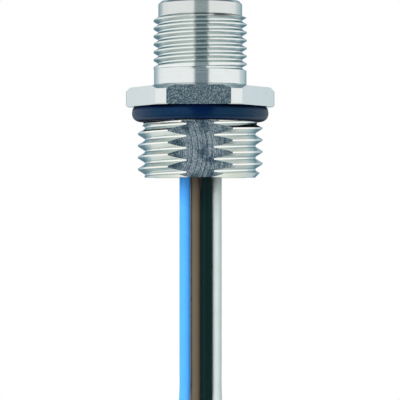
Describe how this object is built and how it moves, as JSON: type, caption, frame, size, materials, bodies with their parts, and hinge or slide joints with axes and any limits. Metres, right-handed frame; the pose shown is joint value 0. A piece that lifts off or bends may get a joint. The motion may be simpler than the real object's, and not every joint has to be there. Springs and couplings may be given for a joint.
{
  "type": "flange connector",
  "caption": "Panel-mount round plug: turned nickel housing with coupling thread, hex flange, seal ring and flatted panel thread, pin contacts inside, loose coloured wires behind.",
  "frame": {"origin": "on the plug's axis, on the flange face that seats against the panel", "axes": "+Z along the axis out of the plug side, the wires leave along -Z, the milled flat of the panel thread faces -Y"},
  "size_m": [0.0188, 0.0222, 0.1056],
  "materials": {
    "plated_brass": "bright nickel plate on turned brass, fine turning lines",
    "blue_rubber": "smooth dark blue seal rubber",
    "black_moulding": "moulded, slightly matt",
    "gold_plate": "thin gold plate, polished",
    "resin": "cast, glossy with a meniscus",
    "blue_insulation": "smooth extruded insulation",
    "brown_insulation": "smooth extruded insulation",
    "black_insulation": "smooth extruded insulation",
    "white_insulation": "smooth extruded insulation",
    "tinned_strand": "tinned fine strand",
    "tie_nylon": "ribbed nylon strap"
  },
  "bodies": {
    "root": {"housing": "plated_brass", "panel_seal": "blue_rubber", "contact_carrier": "black_moulding", "contact_1": "gold_plate", "contact_2": "gold_plate", "contact_3": "gold_plate", "contact_4": "gold_plate", "potting": "resin", "wire_blue": "blue_insulation", "wire_brown": "brown_insulation", "wire_black": "black_insulation", "wire_white": "white_insulation", "blue_conductor": "tinned_strand", "brown_conductor": "tinned_strand", "black_conductor": "tinned_strand", "white_conductor": "tinned_strand", "wire_hank": "blue_insulation", "hank_tie": "tie_nylon"}
  },
  "joints": []
}
